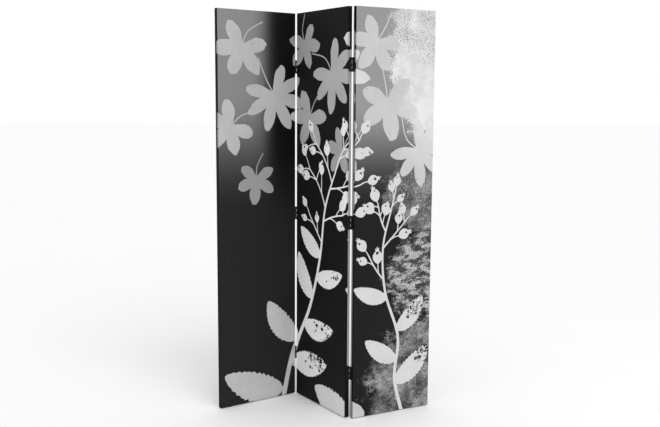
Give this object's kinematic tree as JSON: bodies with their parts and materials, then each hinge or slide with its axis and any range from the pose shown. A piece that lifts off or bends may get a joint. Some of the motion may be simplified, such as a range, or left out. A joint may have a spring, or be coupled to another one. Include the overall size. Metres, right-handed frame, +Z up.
{
  "type": "partition wall",
  "caption": "Free-standing folding screen: tall slim panels of printed canvas on wooden frames, hinged edge to edge so that they stand in a zigzag, open flat or fold together.",
  "frame": {"origin": "on the floor, in the middle of the footprint's box as the screen stands in its zigzag", "axes": "+Z up along the panels' height; -Y towards the front; +X from the left panel to the right panel"},
  "size_m": [0.9678, 0.3806, 1.8],
  "materials": {
    "frame_wood": "planed softwood, unfinished",
    "canvas_front": "plain-weave cotton canvas printed in greys",
    "canvas_back": "plain-weave cotton canvas printed in greys",
    "staple_wire": "galvanised wire",
    "glide_plastic": "black moulded plastic",
    "hinge_black": "black lacquered steel",
    "screw_black": "black oxidised steel"
  },
  "bodies": {
    "panel_left": {"left_stile_left": "frame_wood", "left_stile_right": "frame_wood", "left_rail_top": "frame_wood", "left_rail_bottom": "frame_wood", "left_crossbar_lower": "frame_wood", "left_crossbar_upper": "frame_wood", "left_canvas_front": "canvas_front", "left_canvas_back": "canvas_back", "left_staples": "staple_wire", "left_glides": "glide_plastic", "left_hinge_bottom_leaf_outer": "hinge_black", "left_hinge_middle_leaf_outer": "hinge_black", "left_hinge_top_leaf_outer": "hinge_black", "left_hinge_screws_outer": "screw_black"},
    "panel_middle": {"middle_stile_left": "frame_wood", "middle_stile_right": "frame_wood", "middle_rail_top": "frame_wood", "middle_rail_bottom": "frame_wood", "middle_crossbar_lower": "frame_wood", "middle_crossbar_upper": "frame_wood", "middle_canvas_front": "canvas_front", "middle_canvas_back": "canvas_back", "middle_staples": "staple_wire", "middle_glides": "glide_plastic", "left_hinge_bottom_leaf_middle": "hinge_black", "left_hinge_bottom_pin": "hinge_black", "left_hinge_middle_leaf_middle": "hinge_black", "left_hinge_middle_pin": "hinge_black", "left_hinge_top_leaf_middle": "hinge_black", "left_hinge_top_pin": "hinge_black", "left_hinge_screws_middle": "screw_black", "right_hinge_bottom_leaf_middle": "hinge_black", "right_hinge_bottom_pin": "hinge_black", "right_hinge_middle_leaf_middle": "hinge_black", "right_hinge_middle_pin": "hinge_black", "right_hinge_top_leaf_middle": "hinge_black", "right_hinge_top_pin": "hinge_black", "right_hinge_screws_middle": "screw_black"},
    "panel_right": {"right_stile_left": "frame_wood", "right_stile_right": "frame_wood", "right_rail_top": "frame_wood", "right_rail_bottom": "frame_wood", "right_crossbar_lower": "frame_wood", "right_crossbar_upper": "frame_wood", "right_canvas_front": "canvas_front", "right_canvas_back": "canvas_back", "right_staples": "staple_wire", "right_glides": "glide_plastic", "right_hinge_bottom_leaf_outer": "hinge_black", "right_hinge_middle_leaf_outer": "hinge_black", "right_hinge_top_leaf_outer": "hinge_black", "right_hinge_screws_outer": "screw_black"}
  },
  "joints": [
    {"name": "left_fold", "type": "hinge", "parent": "panel_middle", "child": "panel_left", "pos_m": [-0.12256, 0.16889, 0.88], "axis": [0, 0, 1], "range_deg": [-95, 90]},
    {"name": "right_fold", "type": "hinge", "parent": "panel_middle", "child": "panel_right", "pos_m": [0.10394, -0.16742, 0.88], "axis": [0, 0, 1], "range_deg": [-88, 97]}
  ]
}
